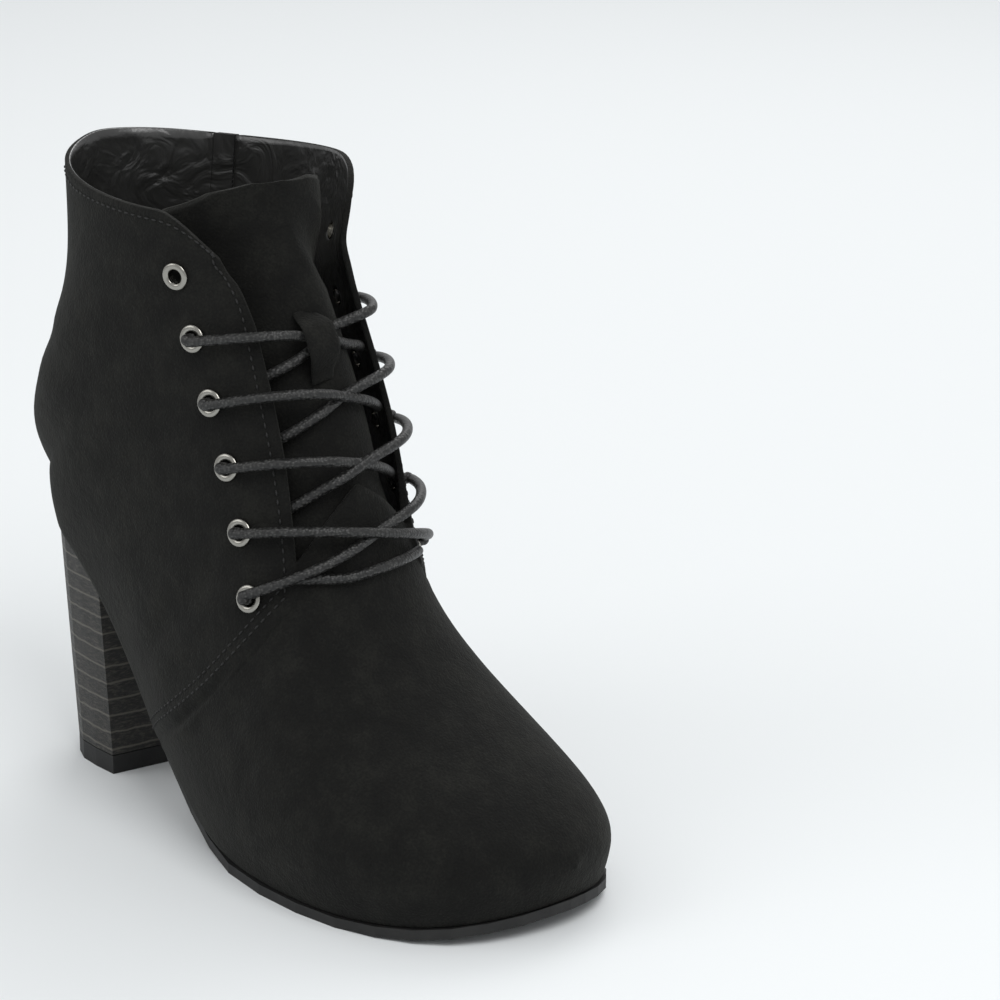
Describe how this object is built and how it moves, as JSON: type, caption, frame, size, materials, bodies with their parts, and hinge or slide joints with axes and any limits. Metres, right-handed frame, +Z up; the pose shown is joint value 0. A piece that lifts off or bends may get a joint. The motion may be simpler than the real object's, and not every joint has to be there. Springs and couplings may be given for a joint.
{
  "type": "lace up ankle boot",
  "caption": "Right lace up ankle boot in black suede look, on a high stacked block heel, with a rounded toe, metal eyelets and a zip on the inner side.",
  "frame": {"origin": "middle of the boot's footprint box, on the floor it stands on", "axes": "+X to the toe, +Y to the inner side of this right boot, +Z up"},
  "size_m": [0.2446, 0.1012, 0.2176],
  "materials": {
    "suede": "matt nap",
    "lining": "semi gloss",
    "stacked_heel": "satin",
    "sole_rubber": "matt",
    "waxed_cord": "waxed",
    "nickel": "polished",
    "zip_tape": "woven"
  },
  "bodies": {
    "boot": {"upper": "suede", "tongue": "suede", "lace_keeper": "suede", "insole": "lining", "outsole": "sole_rubber", "heel": "stacked_heel", "top_lift": "sole_rubber", "eyelet_lateral_1": "nickel", "eyelet_lateral_2": "nickel", "eyelet_lateral_3": "nickel", "eyelet_lateral_4": "nickel", "eyelet_lateral_5": "nickel", "eyelet_lateral_6": "nickel", "eyelet_medial_1": "nickel", "eyelet_medial_2": "nickel", "eyelet_medial_3": "nickel", "eyelet_medial_4": "nickel", "eyelet_medial_5": "nickel", "eyelet_medial_6": "nickel", "lace_bar": "waxed_cord", "lace_cross_1": "waxed_cord", "lace_cross_2": "waxed_cord", "lace_cross_3": "waxed_cord", "lace_cross_4": "waxed_cord", "zip": "zip_tape", "zip_slider": "nickel"},
    "pull_tab": {"zip_pull": "nickel"}
  },
  "joints": [
    {"name": "zip_pull_hinge", "type": "hinge", "parent": "boot", "child": "pull_tab", "pos_m": [-0.07687, 0.04001, 0.20071], "axis": [0.9065, 0.4221, 0], "range_deg": [0, 160]}
  ]
}
